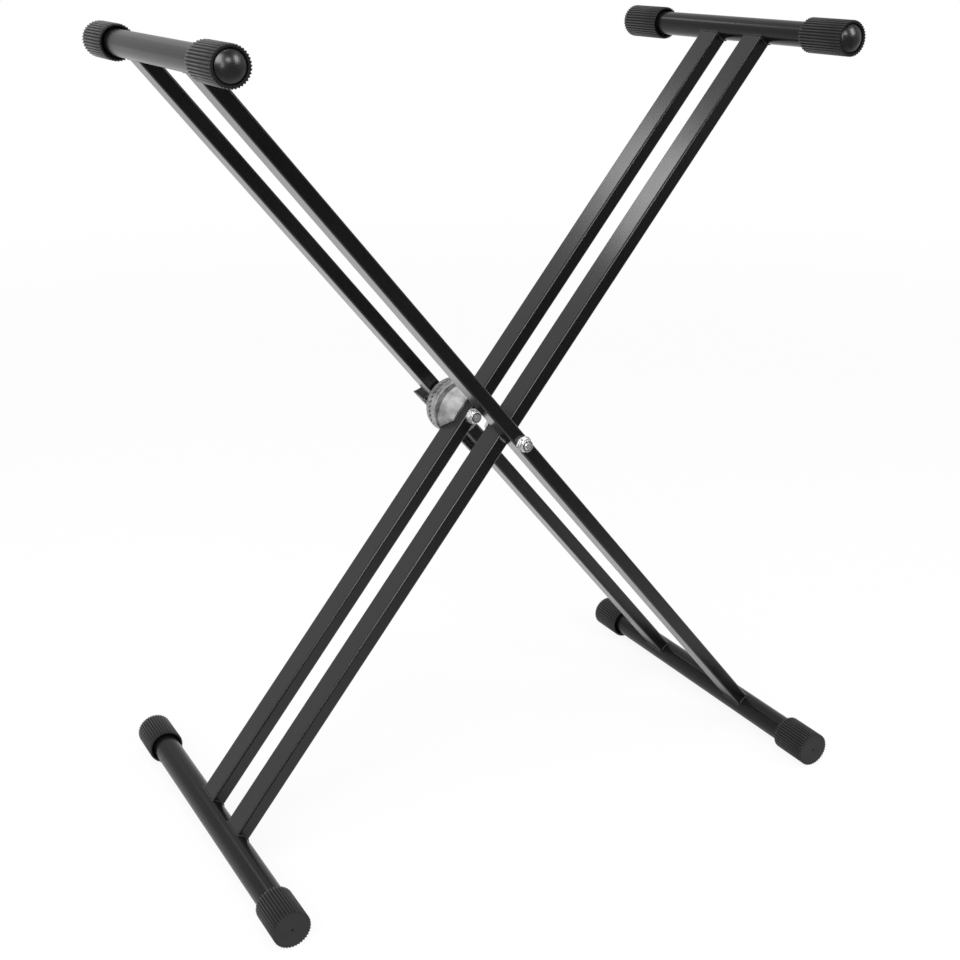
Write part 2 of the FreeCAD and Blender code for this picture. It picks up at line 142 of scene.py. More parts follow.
def joined(name, meshes):
    """One mesh of several, each with its own materials."""
    bm = bmesh.new()
    result = bpy.data.meshes.new(name)
    for mesh in meshes:
        first = len(bm.faces)
        bm.from_mesh(mesh)
        bm.faces.ensure_lookup_table()
        for face in bm.faces[first:]:
            face.material_index += len(result.materials)
        for material in mesh.materials:
            result.materials.append(material)
    bm.to_mesh(result)
    bm.free()
    return result


# ---- geometry node trees ----

def new_tree(name, inputs):
    """A geometry tree with a geometry input and output, and named inputs for its sizes."""
    tree = bpy.data.node_groups.new(name, "GeometryNodeTree")
    tree.interface.new_socket("Geometry", in_out="INPUT", socket_type="NodeSocketGeometry")
    for title, kind, value in inputs:
        socket = tree.interface.new_socket(title, in_out="INPUT", socket_type=kind)
        if value is not None:
            socket.default_value = value
    tree.interface.new_socket("Geometry", in_out="OUTPUT", socket_type="NodeSocketGeometry")
    return tree, tree.nodes.new("NodeGroupInput"), tree.nodes.new("NodeGroupOutput")


def math_node(tree, operation, first, second=None):
    node = tree.nodes.new("ShaderNodeMath")
    node.operation = operation
    for socket, value in zip(node.inputs, (first, second)):
        if value is None:
            continue
        if isinstance(value, (int, float)):
            socket.default_value = value
        else:
            tree.links.new(value, socket)
    return node.outputs[0]


def close_tree(tree, geometry, group_in, group_out):
    """Ends a tree in Realize Instances and Set Material."""
    realize = tree.nodes.new("GeometryNodeRealizeInstances")
    material = tree.nodes.new("GeometryNodeSetMaterial")
    tree.links.new(geometry, realize.inputs["Geometry"])
    tree.links.new(realize.outputs["Geometry"], material.inputs["Geometry"])
    tree.links.new(group_in.outputs["Material"], material.inputs["Material"])
    tree.links.new(material.outputs["Geometry"], group_out.inputs["Geometry"])


def ring_tree():
    """Repeats the input mesh around Y."""
    tree, group_in, group_out = new_tree("repeat_around", [
        ("Count", "NodeSocketInt", 12), ("Material", "NodeSocketMaterial", None)])
    points = tree.nodes.new("GeometryNodePoints")
    tree.links.new(group_in.outputs["Count"], points.inputs["Count"])
    index = tree.nodes.new("GeometryNodeInputIndex")
    pitch = math_node(tree, "DIVIDE", 2 * math.pi, group_in.outputs["Count"])
    angle = math_node(tree, "MULTIPLY", index.outputs[0], pitch)
    turn = tree.nodes.new("ShaderNodeCombineXYZ")
    tree.links.new(angle, turn.inputs["Y"])
    rotation = tree.nodes.new("FunctionNodeEulerToRotation")
    tree.links.new(turn.outputs[0], rotation.inputs[0])
    instances = tree.nodes.new("GeometryNodeInstanceOnPoints")
    tree.links.new(points.outputs[0], instances.inputs["Points"])
    tree.links.new(group_in.outputs["Geometry"], instances.inputs["Instance"])
    tree.links.new(rotation.outputs[0], instances.inputs["Rotation"])
    close_tree(tree, instances.outputs[0], group_in, group_out)
    return tree


BEAD_SAMPLES = 6.0           # points of a bead's path per ripple
BEAD_NOISE = 140.0
BEAD_UNEVENNESS = 0.7
BEAD_LEAST = 0.9             # of its radius, between the ripples


def bead_tree():
    """A weld bead along the input's edges: a round cord that swells at an even pitch."""
    tree, group_in, group_out = new_tree("weld_bead", [
        ("Radius", "NodeSocketFloat", 0.0015), ("Pitch", "NodeSocketFloat", 0.003),
        ("Swell", "NodeSocketFloat", 0.25), ("Material", "NodeSocketMaterial", None)])
    path = tree.nodes.new("GeometryNodeMeshToCurve")
    tree.links.new(group_in.outputs["Geometry"], path.inputs[0])
    resample = tree.nodes.new("GeometryNodeResampleCurve")
    resample.mode = "LENGTH"
    tree.links.new(path.outputs[0], resample.inputs["Curve"])
    spacing = math_node(tree, "DIVIDE", group_in.outputs["Pitch"], BEAD_SAMPLES)
    tree.links.new(spacing, resample.inputs["Length"])
    along = tree.nodes.new("GeometryNodeSplineParameter")
    turns = math_node(tree, "DIVIDE", along.outputs["Length"], group_in.outputs["Pitch"])
    wave = math_node(tree, "SINE", math_node(tree, "MULTIPLY", turns, math.pi))
    ripple = math_node(tree, "MULTIPLY", math_node(tree, "ABSOLUTE", wave), group_in.outputs["Swell"])
    noise = tree.nodes.new("ShaderNodeTexNoise")
    noise.inputs["Scale"].default_value = BEAD_NOISE
    centred = math_node(tree, "SUBTRACT", noise.outputs[0], 0.5)
    uneven = math_node(tree, "MULTIPLY", centred, BEAD_UNEVENNESS)
    share = math_node(tree, "ADD", math_node(tree, "ADD", ripple, uneven), BEAD_LEAST)
    radius = math_node(tree, "MULTIPLY", share, group_in.outputs["Radius"])
    set_radius = tree.nodes.new("GeometryNodeSetCurveRadius")
    tree.links.new(resample.outputs[0], set_radius.inputs["Curve"])
    tree.links.new(radius, set_radius.inputs["Radius"])
    section = tree.nodes.new("GeometryNodeCurvePrimitiveCircle")
    section.inputs["Resolution"].default_value = 10
    section.inputs["Radius"].default_value = 1.0
    sweep = tree.nodes.new("GeometryNodeCurveToMesh")
    tree.links.new(set_radius.outputs[0], sweep.inputs["Curve"])
    tree.links.new(section.outputs["Curve"], sweep.inputs["Profile Curve"])
    cord_radius = tree.nodes.new("GeometryNodeInputRadius")
    tree.links.new(cord_radius.outputs[0], sweep.inputs["Scale"])
    smooth = tree.nodes.new("GeometryNodeSetShadeSmooth")
    tree.links.new(sweep.outputs[0], smooth.inputs["Geometry"])
    close_tree(tree, smooth.outputs[0], group_in, group_out)
    return tree


HELIX_STEPS = 40             # per turn


def helix_tree():
    """A helix about Z that starts at the origin, for the ridge of a thread."""
    tree, group_in, group_out = new_tree("helix", [
        ("Radius", "NodeSocketFloat", 0.004), ("Height", "NodeSocketFloat", 0.01),
        ("Turns", "NodeSocketFloat", 8.0), ("Wire", "NodeSocketFloat", 0.0004),
        ("Sides", "NodeSocketInt", 6), ("Material", "NodeSocketMaterial", None)])
    spiral = tree.nodes.new("GeometryNodeCurveSpiral")
    spiral.inputs["Resolution"].default_value = HELIX_STEPS
    for title, source in (("Rotations", "Turns"), ("Start Radius", "Radius"), ("End Radius", "Radius"),
                          ("Height", "Height")):
        tree.links.new(group_in.outputs[source], spiral.inputs[title])
    section = tree.nodes.new("GeometryNodeCurvePrimitiveCircle")
    tree.links.new(group_in.outputs["Sides"], section.inputs["Resolution"])
    tree.links.new(group_in.outputs["Wire"], section.inputs["Radius"])
    sweep = tree.nodes.new("GeometryNodeCurveToMesh")
    sweep.inputs["Fill Caps"].default_value = True
    tree.links.new(spiral.outputs[0], sweep.inputs["Curve"])
    tree.links.new(section.outputs["Curve"], sweep.inputs["Profile Curve"])
    join = tree.nodes.new("GeometryNodeJoinGeometry")
    tree.links.new(sweep.outputs[0], join.inputs[0])
    tree.links.new(group_in.outputs["Geometry"], join.inputs[0])
    close_tree(tree, join.outputs[0], group_in, group_out)
    return tree


def grown(name, mesh, tree, values):
    """The plain mesh that a tree makes of the mesh, with the tree's inputs set by name."""
    seed = link(name + "_seed", mesh)
    modifier = seed.modifiers.new("tree", "NODES")
    modifier.node_group = tree
    for item in tree.interface.items_tree:
        if item.item_type == "SOCKET" and item.in_out == "INPUT" and item.name in values:
            modifier[item.identifier] = values[item.name]
    depsgraph = bpy.context.evaluated_depsgraph_get()
    result = bpy.data.meshes.new_from_object(seed.evaluated_get(depsgraph))
    result.name = name
    bpy.data.objects.remove(seed)
    used = result.materials[result.polygons[0].material_index]
    result.materials.clear()
    result.materials.append(used)
    result.polygons.foreach_set("material_index", [0] * len(result.polygons))
    return result


# ---- shader node groups ----

def shader_group(name, inputs, outputs):
    group = bpy.data.node_groups.new(name, "ShaderNodeTree")
    for title, value in inputs:
        socket = group.interface.new_socket(title, in_out="INPUT", socket_type="NodeSocketFloat")
        socket.default_value = value
    for title in outputs:
        group.interface.new_socket(title, in_out="OUTPUT", socket_type="NodeSocketFloat")
    return group, group.nodes.new("NodeGroupInput"), group.nodes.new("NodeGroupOutput")


def object_noise(group, scale, detail, roughness=0.5):
    coordinates = group.nodes.new("ShaderNodeTexCoord")
    noise = group.nodes.new("ShaderNodeTexNoise")
    noise.inputs["Detail"].default_value = detail
    noise.inputs["Roughness"].default_value = roughness
    group.links.new(coordinates.outputs["Object"], noise.inputs["Vector"])
    if isinstance(scale, (int, float)):
        noise.inputs["Scale"].default_value = scale
    else:
        group.links.new(scale, noise.inputs["Scale"])
    return noise.outputs[0]


WAVE_SCALE = 0.12            # of the grain's own, for the waviness under it


def grain_group():
    """A fine bump height: an even orange-peel with a little larger waviness under it."""
    group, group_in, group_out = shader_group(
        "surface_grain", [("Scale", 1500.0), ("Waviness", 0.4)], ["Height"])
    fine = object_noise(group, group_in.outputs["Scale"], 2.0)
    wide = object_noise(group, math_node(group, "MULTIPLY", group_in.outputs["Scale"], WAVE_SCALE), 1.0)
    waves = math_node(group, "MULTIPLY", wide, group_in.outputs["Waviness"])
    group.links.new(math_node(group, "ADD", fine, waves), group_out.inputs["Height"])
    return group


def blotch_group():
    """A soft mask from 0 to 1 that varies over the surface, with its contrast as an input."""
    group, group_in, group_out = shader_group(
        "blotches", [("Scale", 30.0), ("Contrast", 1.5)], ["Mask"])
    noise = object_noise(group, group_in.outputs["Scale"], 3.0, 0.5)
    centred = math_node(group, "MULTIPLY", math_node(group, "SUBTRACT", noise, 0.5),
                        group_in.outputs["Contrast"])
    clamp = group.nodes.new("ShaderNodeClamp")
    group.links.new(math_node(group, "ADD", centred, 0.5), clamp.inputs[0])
    group.links.new(clamp.outputs[0], group_out.inputs["Mask"])
    return group


def dust_group():
    """A mask of settled dust, strongest where the surface faces up."""
    group, group_in, group_out = shader_group("dust", [("Amount", 0.3), ("Scale", 220.0)], ["Mask"])
    geometry = group.nodes.new("ShaderNodeNewGeometry")
    split = group.nodes.new("ShaderNodeSeparateXYZ")
    group.links.new(geometry.outputs["Normal"], split.inputs[0])
    facing = math_node(group, "MAXIMUM", split.outputs["Z"], 0.0)
    noise = object_noise(group, group_in.outputs["Scale"], 5.0, 0.7)
    specks = math_node(group, "POWER", noise, 3.0)
    settled = math_node(group, "MULTIPLY", facing, specks)
    mask = math_node(group, "MULTIPLY", settled, group_in.outputs["Amount"])
    group.links.new(mask, group_out.inputs["Mask"])
    return group


GRAIN = grain_group()
BLOTCHES = blotch_group()
DUST = dust_group()


def place_group(material, group, **values):
    node = material.node_tree.nodes.new("ShaderNodeGroup")
    node.node_tree = group
    for title, value in values.items():
        node.inputs[title].default_value = value
    return node.outputs[0]


def mix_colour(material, mask, dark, light):
    tree = material.node_tree
    mix = tree.nodes.new("ShaderNodeMix")
    mix.data_type = "RGBA"
    colours = [socket for socket in mix.inputs if socket.type == "RGBA"]
    for socket, value in zip(colours, (dark, light)):
        if isinstance(value, bpy.types.NodeSocket):
            tree.links.new(value, socket)
        else:
            socket.default_value = (value, value, value, 1.0)
    tree.links.new(mask, mix.inputs[0])
    return [socket for socket in mix.outputs if socket.type == "RGBA"][0]


def map_range(material, value, low, high):
    tree = material.node_tree
    node = tree.nodes.new("ShaderNodeMapRange")
    node.inputs["To Min"].default_value = low
    node.inputs["To Max"].default_value = high
    tree.links.new(value, node.inputs["Value"])
    return node.outputs[0]


DUST_GREY = 0.35
DUST_SCALE = 260.0
GRAIN_WAVINESS = 0.5


def finish_material(name, greys, blotch_scale, contrast, roughness, grain_scale, bump, dust=0.0,
                    metallic=0.0, specular=0.5):
    """One surface finish: two greys in soft blotches, uneven gloss, fine grain and a little dust."""
    material = bpy.data.materials.new(name)
    material.use_nodes = True
    tree = material.node_tree
    shader = tree.nodes["Principled BSDF"]
    shader.inputs["Metallic"].default_value = metallic
    shader.inputs["Specular IOR Level"].default_value = specular
    blotches = place_group(material, BLOTCHES, Scale=blotch_scale, Contrast=contrast)
    colour = mix_colour(material, blotches, *greys)
    if dust:
        specks = place_group(material, DUST, Amount=dust, Scale=DUST_SCALE)
        colour = mix_colour(material, specks, colour, DUST_GREY)
    tree.links.new(colour, shader.inputs["Base Color"])
    tree.links.new(map_range(material, blotches, *roughness), shader.inputs["Roughness"])
    height = place_group(material, GRAIN, Scale=grain_scale, Waviness=GRAIN_WAVINESS)
    bump_node = tree.nodes.new("ShaderNodeBump")
    bump_node.inputs["Strength"].default_value = 1.0
    bump_node.inputs["Distance"].default_value = bump
    tree.links.new(height, bump_node.inputs["Height"])
    tree.links.new(bump_node.outputs[0], shader.inputs["Normal"])
    return material


PAINT = finish_material(
    "satin_black_paint", (0.0033, 0.0055), blotch_scale=14.0, contrast=1.6, roughness=(0.17, 0.22),
    grain_scale=1100.0, bump=0.0012 * MM, dust=0.03)
TUBE_PAINT = finish_material(
    "tube_paint", (0.0035, 0.0058), blotch_scale=14.0, contrast=1.6, roughness=(0.22, 0.29),
    grain_scale=1100.0, bump=0.003 * MM, dust=0.03, specular=0.22)
# The lever's greys are lighter than the frame's black paint of the same kind: a painted sheen that stands in
# for that paint's reflection at grazing angles.
LEVER_PAINT_WITH_PAINTED_SHEEN = finish_material(
    "lever_paint", (0.035, 0.06), blotch_scale=30.0, contrast=1.6, roughness=(0.3, 0.4),
    grain_scale=1300.0, bump=0.012 * MM)
RUBBER = finish_material(
    "moulded_rubber", (0.003, 0.006), blotch_scale=60.0, contrast=2.0, roughness=(0.55, 0.65),
    grain_scale=2600.0, bump=0.02 * MM, specular=0.25)
RIB_RUBBER = finish_material(
    "rubber_crest", (0.0045, 0.009), blotch_scale=60.0, contrast=2.0, roughness=(0.28, 0.36),
    grain_scale=2600.0, bump=0.006 * MM, dust=0.1)
RUBBER_FACE = finish_material(
    "rubber_end_face", (0.009, 0.014), blotch_scale=60.0, contrast=2.0, roughness=(0.5, 0.6),
    grain_scale=2600.0, bump=0.01 * MM, dust=0.1, specular=0.4)
PLUG = finish_material(
    "polished_plug", (0.006, 0.009), blotch_scale=40.0, contrast=1.5, roughness=(0.25, 0.29),
    grain_scale=1800.0, bump=0.0008 * MM, dust=0.02, specular=0.8)
CAST = finish_material(
    "cast_metal", (0.2, 0.42), blotch_scale=110.0, contrast=3.0, roughness=(0.42, 0.56),
    grain_scale=900.0, bump=0.08 * MM, metallic=0.75)
ZINC = finish_material(
    "bright_zinc", (0.55, 0.75), blotch_scale=160.0, contrast=2.2, roughness=(0.22, 0.3),
    grain_scale=1500.0, bump=0.001 * MM, metallic=0.85)
STEEL = finish_material(
    "turned_steel", (0.35, 0.5), blotch_scale=120.0, contrast=1.8, roughness=(0.25, 0.36),
    grain_scale=1500.0, bump=0.004 * MM, metallic=1.0)
DARK_STEEL = finish_material(
    "blackened_steel", (0.02, 0.04), blotch_scale=120.0, contrast=1.8, roughness=(0.35, 0.45),
    grain_scale=1500.0, bump=0.008 * MM, metallic=0.6)
SPRING = finish_material(
    "spring_wire", (0.25, 0.4), blotch_scale=200.0, contrast=1.8, roughness=(0.25, 0.35),
    grain_scale=1500.0, bump=0.006 * MM, metallic=1.0)
NYLON = finish_material(
    "nylon_insert", (0.05, 0.08), blotch_scale=200.0, contrast=1.8, roughness=(0.35, 0.45),
    grain_scale=1500.0, bump=0.003 * MM)

REPEAT_AROUND = ring_tree()
WELD_BEAD = bead_tree()
HELIX = helix_tree()


def declare(piece, body, slot, *nodes):
    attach(piece, body)
    if nodes:
        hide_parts(*nodes)


# ---- rubber sleeves and caps ----

SLEEVE_RIBS = 36
CAP_RIBS = 38
RIB_HEIGHT = 1.0 * MM
RIB_SHARE = 0.62            # of the pitch that a rib takes up at its foot
RIB_ROUND = 0.3 * MM        # of a rib's ends
RIB_ROUND_STEPS = 4
WALL_STEPS = 4              # round the wall, per rib
RIB_SINK = 0.25 * MM        # of a rib's foot into the wall under it


def rib(inner_radius, count, start, end):
    """One rib on +Z, rounded across and run down to the wall at both ends."""
    half = math.pi * inner_radius / count * RIB_SHARE
    section = [(-1.0, 0.0), (-0.86, 0.55), (-0.5, 0.9), (0.0, 1.0), (0.5, 0.9), (0.86, 0.55), (1.0, 0.0)]
    stations = []
    for step in range(RIB_ROUND_STEPS + 1):
        angle = math.radians(90 * step / RIB_ROUND_STEPS)
        stations.append((start + RIB_ROUND * (1 - math.sin(angle)), math.cos(angle)))
    run = sorted(stations) + sorted((start + end - y, height) for y, height in stations)
    bm = bmesh.new()
    rows = []
    for y, height in run:
        row = [bm.verts.new((half * x, y, inner_radius - RIB_SINK + (RIB_SINK + RIB_HEIGHT * height) * z))
               for x, z in section]
        rows.append(row)
    for first, second in zip(rows, rows[1:]):
        for left in range(len(section) - 1):
            bm.faces.new((first[left], first[left + 1], second[left + 1], second[left]))
        bm.faces.new((first[-1], first[0], second[0], second[-1]))
    bm.faces.new(rows[0])
    bm.faces.new(reversed(rows[-1]))
    return to_mesh(bm, "rib")


def put_in_place(mesh, node, body, slot, near=False):
    """Moves a mesh drawn about Y to its node's axis, and lets it stand for the node."""
    if near:
        mesh.transform(Matrix.Scale(-1, 4, (0, 1, 0)))
        mesh.flip_normals()
    middle = node_middle(node)
    mesh.transform(Matrix.Translation((middle.x, 0, middle.z)))
    piece = link(mesh.name, mesh)
    declare(piece, body, slot, node)


def body_of(node):
    return BODY[node.split("_")[0]]


def rubber_end(node, rings_of, rib_count, end_finish):
    """A sleeve or cap of its wall's outline and its ribs, with its own finish on the end face."""
    low, high = node_span(node)
    near = low < 0
    mouth, end = (-high, -low) if near else (low, high)
    wall = node_radius(node) - RIB_HEIGHT
    body = turned(node + "_wall", rings_of(wall, mouth, end), rib_count * WALL_STEPS)
    body.materials.append(RUBBER)
    body.materials.append(end_finish)
    for face in body.polygons:
        face.material_index = int(face.center.y > end - END_FACE_DEPTH)
    finish_mesh(body, sharp_degrees=40)
    ribs = grown(node + "_ribs", rib(wall, rib_count, mouth, end), REPEAT_AROUND,
                 {"Count": rib_count, "Material": RIB_RUBBER})
    finish_mesh(ribs, sharp_degrees=50)
    put_in_place(joined(node + "_ribbed", [body, ribs]), node, body_of(node), "ribbed_rubber", near)


MOUTH_WALL = 1.7 * MM
MOUTH_DEPTH = 10.0 * MM
LIP_ROUND = 0.6 * MM
END_ROUND = 0.4 * MM
END_FACE_DEPTH = 0.05 * MM
SLEEVE_END_WALL = 3.2 * MM
SLEEVE_END_DEPTH = 4.0 * MM
CAP_FLOOR = 4.0 * MM
DIMPLE_MOUTH = 1.95 * MM
DIMPLE_RADIUS = 1.5 * MM
DIMPLE_FLOOR = 0.9 * MM
DIMPLE_LIP = 0.1 * MM
DIMPLE_DEPTH = 0.7 * MM
FIT = 0.05 * MM


def outside(wall, mouth, end):
    """The outline from the lip at the mouth along the outside to the round at the end."""
    lip_y = mouth + LIP_ROUND
    return (arc((wall - MOUTH_WALL + LIP_ROUND, lip_y), LIP_ROUND, 180, 270, 3)
            + arc((wall - LIP_ROUND, lip_y), LIP_ROUND, 270, 360, 3)
            + arc((wall - END_ROUND, end - END_ROUND), END_ROUND, 0, 90, 5))


def inside(wall, mouth, bore, floor):
    """The outline from the bore's floor back to its wider mouth."""
    step_y = mouth + MOUTH_DEPTH
    return [(bore, floor), (bore, step_y), (wall - MOUTH_WALL, step_y)]


def sleeve_rings(tube_radius):
    def rings(wall, mouth, end):
        end_bore = wall + RIB_HEIGHT - SLEEVE_END_WALL
        lip = arc((end_bore + LIP_ROUND, end - LIP_ROUND), LIP_ROUND, 90, 180, 3)
        floor = end - SLEEVE_END_DEPTH
        bore = inside(wall, mouth, tube_radius + FIT, floor)
        return outside(wall, mouth, end) + lip + [(end_bore, floor)] + bore
    return rings


def cap_rings(tube_radius):
    def rings(wall, mouth, end):
        dimple_y = end - DIMPLE_DEPTH
        floor = end - CAP_FLOOR
        dimple = [(DIMPLE_MOUTH, end), (DIMPLE_RADIUS, end - DIMPLE_LIP), (DIMPLE_FLOOR, dimple_y)]
        middle = [(0.0, dimple_y), (0.0, floor)]
        bore = inside(wall, mouth, tube_radius + FIT, floor)
        return outside(wall, mouth, end) + dimple + middle + bore
    return rings


for side in FRAMES:
    for place in ("near", "far"):
        sleeve_outline = sleeve_rings(node_radius(f"{side}_top_tube"))
        rubber_end(f"{side}_top_sleeve_{place}", sleeve_outline, SLEEVE_RIBS, RUBBER)
        cap_outline = cap_rings(node_radius(f"{side}_base_tube"))
        rubber_end(f"{side}_base_cap_{place}", cap_outline, CAP_RIBS, RUBBER_FACE)


# ---- domed plugs ----

PLUG_RIM = 2.0 * MM
PLUG_DOME = 4.5 * MM
PLUG_EDGE = 0.6 * MM
PLUG_BREAK = 0.2 * MM        # of the rim's back edge
PLUG_LINE = 0.1 * MM         # half the width of the small step between rim and dome
PLUG_LINE_DEPTH = 0.18 * MM
PLUG_STEM_WALL = 2.0 * MM
TUBE_WALL = 1.5 * MM
DOME_STEPS = 14
ROUND_SEGMENTS = 96


def plug(node, tube_node):
    """A dome on a rolled rim, with its hollow stem."""
    low, high = node_span(node)
    near = low < 0
    start, tip = (-high, -low) if near else (low, high)
    radius = node_radius(node)
    foot = tip - PLUG_DOME
    back = foot - PLUG_RIM
    stem = node_radius(tube_node) - TUBE_WALL - FIT
    dome_radius = (radius ** 2 + PLUG_DOME ** 2) / (2 * PLUG_DOME)
    centre = tip - dome_radius
    reach = math.asin((radius - PLUG_EDGE) / dome_radius)
    outline = [(stem, start), (stem, back), (radius - PLUG_BREAK, back), (radius, back + PLUG_BREAK),
               (radius, foot - PLUG_LINE), (radius - PLUG_LINE_DEPTH, foot + PLUG_LINE)]
    for step in range(DOME_STEPS + 1):
        angle = reach * (1 - step / DOME_STEPS)
        outline.append((dome_radius * math.sin(angle), centre + dome_radius * math.cos(angle)))
    outline += [(0.0, back), (stem - PLUG_STEM_WALL, back), (stem - PLUG_STEM_WALL, start)]
    mesh = turned(node + "_dome", outline, ROUND_SEGMENTS)
    finish_mesh(mesh, sharp_degrees=30)
    mesh.materials.append(PLUG)
    put_in_place(mesh, node, body_of(node), "plug_plastic", near)


for side in FRAMES:
    for place in ("near", "far"):
        plug(f"{side}_top_plug_{place}", f"{side}_top_tube")


# ---- welds ----

BRACE_DEPTH = 15.0 * MM
BRACE_WIDTH = 30.0 * MM
BEAD_RADIUS = 1.1 * MM
BEAD_PITCH = 3.2 * MM
BEAD_SWELL = 0.2
WELD_SIDE_POINTS = 9
BRACE_CORNERS = ((1, -1), (1, 1), (-1, 1), (-1, -1))


def weld_path(tube_radius, height, axis_y):
    """The line where a brace meets a round tube, upright about the pivot."""
    toward_pivot = -1 if height > 0 else 1
    points = []
    for here, after in zip(BRACE_CORNERS, BRACE_CORNERS[1:] + BRACE_CORNERS[:1]):
        for step in range(WELD_SIDE_POINTS):
            share = step / WELD_SIDE_POINTS
            x = BRACE_DEPTH / 2 * (here[0] * (1 - share) + after[0] * share)
            y = BRACE_WIDTH / 2 * (here[1] * (1 - share) + after[1] * share)
            points.append((x, axis_y + y, height + toward_pivot * math.sqrt(tube_radius ** 2 - x ** 2)))
    mesh = bpy.data.meshes.new("weld_path")
    count = len(points)
    mesh.from_pydata(points, [(i, (i + 1) % count) for i in range(count)], [])
    return mesh


def welds(side):
    meshes = []
    for end, sign in (("top", 1), ("base", -1)):
        tube = f"{side}_{end}_tube"
        height = sign * (node_middle(tube) - PIVOT).length
        for place in ("near", "far"):
            axis_y = sum(node_span(f"{side}_brace_{place}")) / 2
            path = weld_path(node_radius(tube), height, axis_y)
            meshes.append(grown("weld", path, WELD_BEAD, {
                "Radius": BEAD_RADIUS, "Pitch": BEAD_PITCH, "Swell": BEAD_SWELL, "Material": PAINT}))
    mesh = joined(side + "_weld_beads", meshes)
    mesh.shade_smooth()
    mesh.transform(leaning(FRAMES[side]))
    piece = link(side + "_weld_beads", mesh)
    declare(piece, BODY[side], "frame_paint")


for side in FRAMES:
    welds(side)


# ---- nuts and bolt ends ----

NUT_FLATS = 13.0 * MM
NUT_HEX = 5.0 * MM
COLLAR_RADIUS = 6.4 * MM
COLLAR_ROUND = 0.8 * MM
COLLAR_FILLET = 0.25 * MM
COLLAR_WALL = 0.35 * MM     # inside the round of its rim
COLLAR_LIP = 0.45 * MM
INSERT_SEAT = 0.9 * MM      # depths below the collar's rim, from here to the insert's back
INSERT_EDGE = 0.7 * MM
INSERT_FACE = 0.6 * MM
INSERT_CREST = 0.55 * MM
INSERT_BACK = 1.5 * MM
INSERT_ROUND = 0.15 * MM
INSERT_GAP = 0.1 * MM       # round the bolt
BOLT_RADIUS = 4.0 * MM
BOLT_CORE = 3.7 * MM        # under the thread
BOLT_CHAMFER = 0.7 * MM
BOLT_TAIL = 1.2 * MM
HEAD_FLATS = 13.0 * MM
HEAD_HEIGHT = 5.3 * MM
HEAD_UNDERCUT = 0.3 * MM
HEX_CHAMFER = 0.35 * MM
THREAD_PITCH = 1.25 * MM
THREAD_WIRE = 0.36 * MM
THREAD_SIDES = 6
THREAD_SINK = 0.7           # of its wire's radius, inside the bolt's
THREAD_RUN = 2.0 * MM       # of thread drawn inside the nut
CHAMFER_SLOPE = math.tan(math.radians(30))


def hexagon_ring(flats, y, slope):
    """A hexagon's outline about Y. Its corners stand off by slope from the ring at y."""
    half = flats / 2

    def ring(angle):
        reach = half / math.cos((angle + math.pi / 6) % (math.pi / 3) - math.pi / 6)
        return reach, y + slope * (reach - half)
    return ring


def hexagon_rings(flats, start, end):
    """Both faces and the flats of a nut or head that points to -Y, chamfered at both ends."""
    face_radius = flats / 2 - HEX_CHAMFER
    chamfer = HEX_CHAMFER * CHAMFER_SLOPE
    return [(face_radius, start), hexagon_ring(flats, start - chamfer, -CHAMFER_SLOPE),
            hexagon_ring(flats, end + chamfer, CHAMFER_SLOPE), (face_radius, end)]


def lock_nut(node, body):
    """A hexagon nut with a rolled collar round a nylon ring, pointing to -Y."""
    low, high = node_span(node)
    hex_end = high - NUT_HEX
    insert_radius = COLLAR_RADIUS - COLLAR_ROUND - COLLAR_WALL
    rings = [(BOLT_RADIUS, high)] + hexagon_rings(NUT_FLATS, high, hex_end)
    rings += [(COLLAR_RADIUS + COLLAR_FILLET, hex_end), (COLLAR_RADIUS, hex_end - COLLAR_FILLET)]
    rings += arc((COLLAR_RADIUS - COLLAR_ROUND, low + COLLAR_ROUND), COLLAR_ROUND, 0, -100, 8)
    rings += [(insert_radius, low + COLLAR_LIP), (insert_radius, low + INSERT_SEAT),
              (BOLT_RADIUS, low + INSERT_SEAT)]
    steel = turned(node + "_steel", rings, ROUND_SEGMENTS)
    steel.materials.append(ZINC)
    finish_mesh(steel, sharp_degrees=28)
    insert = turned(node + "_insert", [
        (BOLT_RADIUS, low + INSERT_BACK), (insert_radius, low + INSERT_BACK),
        (insert_radius, low + INSERT_EDGE), (insert_radius - INSERT_ROUND, low + INSERT_CREST),
        (BOLT_RADIUS + INSERT_GAP, low + INSERT_FACE)], ROUND_SEGMENTS // 2)
    insert.materials.append(NYLON)
    finish_mesh(insert, sharp_degrees=40)
    put_in_place(joined(node + "_detailed", [steel, insert]), node, body, "bright_zinc")


def thread(node, body, tip, length):
    """The ridge of the thread near a bolt's tip, which points to -Y."""
    seed = bpy.data.meshes.new("thread_seed")
    mesh = grown(node + "_thread", seed, HELIX, {
        "Radius": BOLT_RADIUS - THREAD_WIRE * THREAD_SINK, "Height": length, "Turns": length / THREAD_PITCH,
        "Wire": THREAD_WIRE, "Sides": THREAD_SIDES, "Material": ZINC})
    mesh.transform(Matrix.Rotation(math.radians(-90), 4, "X"))
    mesh.transform(Matrix.Translation((PIVOT.x, tip + THREAD_WIRE, PIVOT.z)))
    mesh.shade_smooth()
    piece = link(node + "_thread", mesh)
    declare(piece, body, "bright_zinc")


def bolt_head_piece(node, body):
    """The near bolt: a chamfered hexagon head inside and a plain shank with a chamfered tip."""
    low, high = node_span(node)
    head_start = high - HEAD_HEIGHT
    rings = [(0.0, low), (BOLT_CORE - BOLT_CHAMFER, low), (BOLT_CORE, low + BOLT_CHAMFER),
             (BOLT_CORE, head_start), (HEAD_FLATS / 2 - HEAD_UNDERCUT, head_start)]
    rings += reversed(hexagon_rings(HEAD_FLATS, high, head_start + HEAD_UNDERCUT))
    rings += [(0.0, high)]
    mesh = turned(node + "_detailed", rings, ROUND_SEGMENTS)
    mesh.materials.append(ZINC)
    finish_mesh(mesh, sharp_degrees=28)
    put_in_place(mesh, node, body, "bright_zinc")


